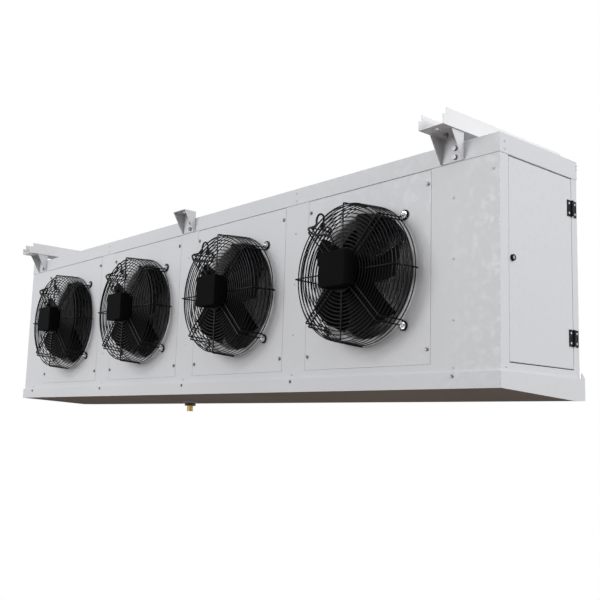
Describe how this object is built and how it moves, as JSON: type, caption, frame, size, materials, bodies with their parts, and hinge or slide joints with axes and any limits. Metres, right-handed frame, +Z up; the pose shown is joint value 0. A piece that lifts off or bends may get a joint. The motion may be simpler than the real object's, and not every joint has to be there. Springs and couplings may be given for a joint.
{
  "type": "walk-in unit cooler",
  "caption": "Ceiling-hung unit cooler: long sheet-metal casing with a row of guarded axial fans, finned coil, drain pan, hinged service door and hanger rails.",
  "frame": {"origin": "centre of the four hanger bolt holes, on the upper face of the hanger rails' webs", "axes": "+X along the casing towards the service door end, -Y the way the fans blow, +Z up towards the ceiling"},
  "size_m": [2.7125, 0.5785, 0.761],
  "materials": {
    "painted_sheet": "light grey powder coat, satin",
    "black_wire": "black powder-coated steel wire, gloss",
    "black_motor": "black painted motor casting, satin",
    "black_blade": "black painted pressed steel, satin",
    "black_box": "dark grey moulded plastic",
    "cable_black": "black cable sheath",
    "grommet_black": "black rubber",
    "galvanised": "galvanised steel",
    "fin_stock": "aluminium fin pack, drawn as its envelope",
    "copper": "copper tube",
    "brass": "brass",
    "heater_steel": "stainless heater sheath",
    "zinc_steel": "bright zinc-plated steel",
    "grey_plastic": "grey moulded plastic",
    "hinge_black": "black painted hinge",
    "lock_black": "black lock housing",
    "dark_nut": "dark plastic locknut"
  },
  "bodies": {
    "casing": {"top_panel": "painted_sheet", "front_frame": "painted_sheet", "left_end_cover": "painted_sheet", "right_end_frame": "painted_sheet", "left_bulkhead": "galvanised", "right_bulkhead": "galvanised", "partitions": "galvanised", "coil_fins": "fin_stock", "tube_bends": "copper", "suction_header": "copper", "liquid_line": "copper", "distributor": "brass", "defrost_heaters": "heater_steel", "terminal_box": "grey_plastic", "terminal_box_lid": "grey_plastic", "drain_pan": "painted_sheet", "drain_nipple": "brass", "drain_locknut": "dark_nut", "motor_cables": "cable_black", "cable_grommets": "grommet_black", "dome_nuts": "zinc_steel", "hanger_gussets": "painted_sheet", "hanger_rail_left": "painted_sheet", "hanger_rail_right": "painted_sheet", "rail_bolts": "zinc_steel", "gusset_bolts": "zinc_steel", "hinge_frame_leaves": "hinge_black", "hinge_pins": "zinc_steel", "fan_panel_1": "painted_sheet", "fan_guard_1": "black_wire", "motor_stator_1": "black_motor", "junction_box_1": "black_box", "fan_panel_2": "painted_sheet", "fan_guard_2": "black_wire", "motor_stator_2": "black_motor", "junction_box_2": "black_box", "fan_panel_3": "painted_sheet", "fan_guard_3": "black_wire", "motor_stator_3": "black_motor", "junction_box_3": "black_box", "fan_panel_4": "painted_sheet", "fan_guard_4": "black_wire", "motor_stator_4": "black_motor", "junction_box_4": "black_box"},
    "service_door": {"side_door": "painted_sheet", "hinge_door_leaves": "hinge_black", "door_lock": "lock_black"},
    "lock_cam": {"lock_cam": "zinc_steel"},
    "fan_wheel_1": {"rotor_can_1": "black_motor", "fan_blades_1": "black_blade"},
    "fan_wheel_2": {"rotor_can_2": "black_motor", "fan_blades_2": "black_blade"},
    "fan_wheel_3": {"rotor_can_3": "black_motor", "fan_blades_3": "black_blade"},
    "fan_wheel_4": {"rotor_can_4": "black_motor", "fan_blades_4": "black_blade"}
  },
  "joints": [
    {"name": "fan_1_spin", "type": "hinge", "parent": "casing", "child": "fan_wheel_1", "pos_m": [-0.8955, -0.215, -0.342], "axis": [0, 1, 0], "continuous": true},
    {"name": "fan_2_spin", "type": "hinge", "parent": "casing", "child": "fan_wheel_2", "pos_m": [-0.2955, -0.215, -0.342], "axis": [0, 1, 0], "continuous": true},
    {"name": "fan_3_spin", "type": "hinge", "parent": "casing", "child": "fan_wheel_3", "pos_m": [0.3045, -0.215, -0.342], "axis": [0, 1, 0], "continuous": true},
    {"name": "fan_4_spin", "type": "hinge", "parent": "casing", "child": "fan_wheel_4", "pos_m": [0.9045, -0.215, -0.342], "axis": [0, 1, 0], "continuous": true},
    {"name": "door_hinge", "type": "hinge", "parent": "casing", "child": "service_door", "pos_m": [1.373, 0.1476, -0.342], "axis": [0, 0, 1], "range_deg": [0, 150]},
    {"name": "lock_turn", "type": "hinge", "parent": "service_door", "child": "lock_cam", "pos_m": [1.3695, -0.1245, -0.3415], "axis": [1, 0, 0], "range_deg": [0, 90]}
  ]
}
